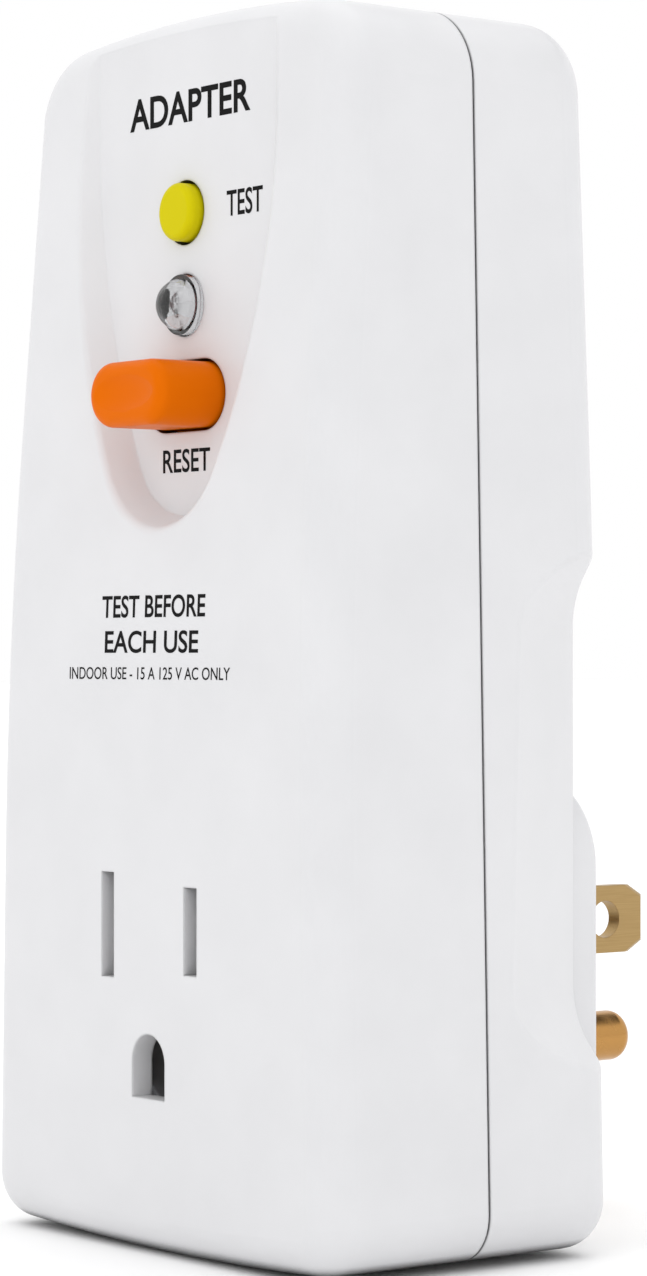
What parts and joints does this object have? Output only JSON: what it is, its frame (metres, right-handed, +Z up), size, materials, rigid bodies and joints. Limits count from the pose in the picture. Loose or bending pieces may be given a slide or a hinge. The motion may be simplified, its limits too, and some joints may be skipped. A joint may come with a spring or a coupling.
{
  "type": "portable ground-fault outlet adapter",
  "caption": "Plug-in ground-fault adapter with a grounded plug, a receptacle, TEST and RESET buttons, an indicator lens and the trip mechanism inside.",
  "frame": {"origin": "centre between the two plug blades on the face of the plug's pad, which meets the wall plate", "axes": "+Y into the wall, the way the plug goes in; +Z up along the case; +X to the right seen from the front"},
  "size_m": [0.0524, 0.0583, 0.1103],
  "materials": {
    "case_white": "fine moulded satin",
    "brass_blade": "stamped brass, lightly dulled",
    "brass_pin": "turned brass, bright",
    "brass_contact": "stamped brass",
    "black_moulding": "moulded phenolic",
    "core_wound": "coated ferrite and enamelled wire",
    "board_green": "solder-masked glass board",
    "component_blue": "dipped epoxy",
    "component_yellow": "moulded epoxy",
    "component_black": "moulded epoxy",
    "component_tan": "painted ceramic body",
    "contact_silver": "silver-faced rivets",
    "spring_steel": "drawn spring wire",
    "plated_steel": "zinc-plated steel",
    "bobbin_white": "moulded nylon",
    "copper_winding": "enamelled copper wire",
    "button_orange": "moulded, satin gloss",
    "button_yellow": "moulded, satin gloss",
    "lens_clear": "clear moulded lens",
    "lamp_red": "tinted lamp body"
  },
  "bodies": {
    "housing": {"front_cover": "case_white", "rear_cover": "case_white", "hot_blade": "brass_blade", "neutral_blade": "brass_blade", "ground_pin": "brass_pin", "contact_block": "black_moulding", "hot_contact": "brass_contact", "neutral_contact": "brass_contact", "ground_contact": "brass_contact", "ground_strap": "brass_contact", "hot_bus": "brass_contact", "neutral_bus": "brass_contact", "insulator_plate": "black_moulding", "sensor_housing": "black_moulding", "sensing_core": "core_wound", "neutral_core": "core_wound", "circuit_board": "board_green", "varistor": "component_blue", "film_capacitor": "component_yellow", "electrolytic_capacitor": "component_black", "control_chip": "component_black", "thyristor": "component_black", "resistors": "component_tan", "diodes": "component_black", "test_contact": "contact_silver", "fixed_contacts": "contact_silver", "carrier_springs": "spring_steel", "solenoid_frame": "plated_steel", "solenoid_bobbin": "bobbin_white", "solenoid_coil": "copper_winding", "plunger_spring": "spring_steel", "reset_spring": "spring_steel", "test_spring": "spring_steel", "indicator_lens": "lens_clear", "indicator_lamp": "lamp_red", "case_screws": "plated_steel"},
    "reset_button": {"reset_button": "button_orange"},
    "test_button": {"test_button": "button_yellow"},
    "contact_carrier": {"contact_carrier": "black_moulding", "contact_bridges": "contact_silver"},
    "trip_plunger": {"solenoid_plunger": "plated_steel", "latch_plate": "plated_steel"}
  },
  "joints": [
    {"name": "reset_press", "type": "slide", "parent": "housing", "child": "reset_button", "axis": [0, 1, 0], "range_m": [0, 0.0025], "stiffness_N_per_m": 600, "springref_m": -0.002, "deforming": ["reset_spring"]},
    {"name": "test_press", "type": "slide", "parent": "housing", "child": "test_button", "axis": [0, 1, 0], "range_m": [0, 0.001], "stiffness_N_per_m": 500, "springref_m": -0.001, "deforming": ["test_spring"]},
    {"name": "contact_close", "type": "slide", "parent": "housing", "child": "contact_carrier", "axis": [0, -1, 0], "range_m": [0, 0.0014], "stiffness_N_per_m": 400, "springref_m": -0.0005, "deforming": ["carrier_springs"]},
    {"name": "plunger_pull", "type": "slide", "parent": "housing", "child": "trip_plunger", "axis": [0, 0, 1], "range_m": [0, 0.002], "stiffness_N_per_m": 200, "springref_m": -0.001, "deforming": ["plunger_spring"]}
  ]
}
